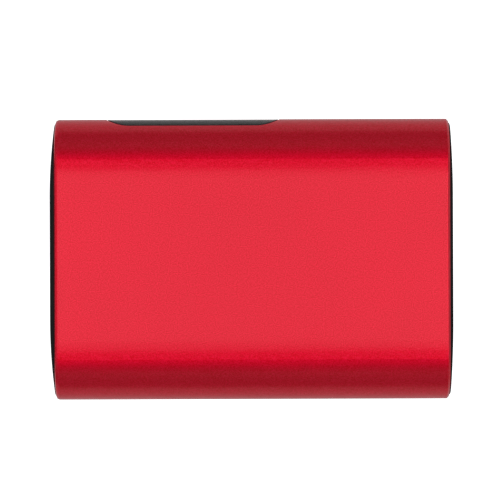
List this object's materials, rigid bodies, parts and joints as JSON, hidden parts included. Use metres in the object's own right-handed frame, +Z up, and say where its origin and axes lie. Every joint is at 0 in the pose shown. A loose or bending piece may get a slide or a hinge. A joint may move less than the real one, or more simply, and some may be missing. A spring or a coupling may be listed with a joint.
{
  "type": "digital audio player",
  "caption": "Pocket audio player: rounded aluminium sleeve, domed black end caps with keys and sockets, and a smoked display window in one long edge.",
  "frame": {"origin": "on the surface the player lies on, under the middle of its outside box", "axes": "+X along the extruded sleeve to the end with the keys, +Y to the long edge with the window, +Z up out of the plain top face"},
  "size_m": [0.0804, 0.056, 0.0176],
  "materials": {
    "red_aluminium": "fine bead-blasted anodised",
    "black_cap": "satin moulded plastic",
    "smoked_lens": "polished smoked acrylic",
    "black_rubber": "matt silicone",
    "display_glass": "black glass",
    "grey_plastic": "moulded",
    "key_plastic": "satin, dished",
    "steel": "plain",
    "black_steel": "black oxide",
    "contact_metal": "nickel plated",
    "board_green": "solder mask",
    "chip_black": "moulded epoxy",
    "tail_amber": "polyimide",
    "pouch_silver": "foil pouch",
    "foam_white": "foam",
    "clear_plastic": "clear light pipe",
    "wire_red": "wire insulation"
  },
  "bodies": {
    "housing": {"outer_sleeve": "red_aluminium", "left_end_cap": "black_cap", "right_end_cap": "black_cap", "left_cap_seal": "black_rubber", "right_cap_seal": "black_rubber", "cap_screws": "black_steel", "window_lens": "smoked_lens", "window_gasket": "black_rubber", "oled_display": "display_glass", "display_holder": "grey_plastic", "display_tail": "tail_amber", "display_connector": "chip_black", "chassis_tray": "grey_plastic", "main_board": "board_green", "board_screws": "steel", "headphone_jack": "contact_metal", "usb_socket": "steel", "usb_tongue": "chip_black", "card_socket": "steel", "hold_switch": "steel", "light_pipe": "clear_plastic", "status_led": "foam_white", "key_switches": "steel", "key_board": "board_green", "key_connector": "chip_black", "shield_can": "steel", "insulating_sheet": "foam_white", "battery_pad": "foam_white", "battery_cell": "pouch_silver", "battery_plug": "foam_white", "battery_lead": "wire_red", "processor_chip": "chip_black", "memory_chip": "chip_black", "crystal": "steel", "power_chip": "chip_black", "power_inductor": "chip_black", "dac_chip": "chip_black", "amplifier_chip": "chip_black", "audio_capacitors": "pouch_silver"},
    "volume_down": {"volume_down_key": "key_plastic", "volume_down_plunger": "chip_black"},
    "previous": {"previous_key": "key_plastic", "previous_plunger": "chip_black"},
    "play": {"play_key": "key_plastic", "play_plunger": "chip_black"},
    "next": {"next_key": "key_plastic", "next_plunger": "chip_black"},
    "volume_up": {"volume_up_key": "key_plastic", "volume_up_plunger": "chip_black"},
    "hold": {"hold_knob": "key_plastic", "hold_actuator": "key_plastic"}
  },
  "joints": [
    {"name": "volume_down_press", "type": "slide", "parent": "housing", "child": "volume_down", "axis": [-1, 0, 0], "range_m": [0, 0.00035], "stiffness_N_per_m": 400},
    {"name": "previous_press", "type": "slide", "parent": "housing", "child": "previous", "axis": [-1, 0, 0], "range_m": [0, 0.00035], "stiffness_N_per_m": 400},
    {"name": "play_press", "type": "slide", "parent": "housing", "child": "play", "axis": [-1, 0, 0], "range_m": [0, 0.00035], "stiffness_N_per_m": 400},
    {"name": "next_press", "type": "slide", "parent": "housing", "child": "next", "axis": [-1, 0, 0], "range_m": [0, 0.00035], "stiffness_N_per_m": 400},
    {"name": "volume_up_press", "type": "slide", "parent": "housing", "child": "volume_up", "axis": [-1, 0, 0], "range_m": [0, 0.00035], "stiffness_N_per_m": 400},
    {"name": "hold_slide", "type": "slide", "parent": "housing", "child": "hold", "axis": [0, -1, 0], "range_m": [0, 0.002]}
  ]
}
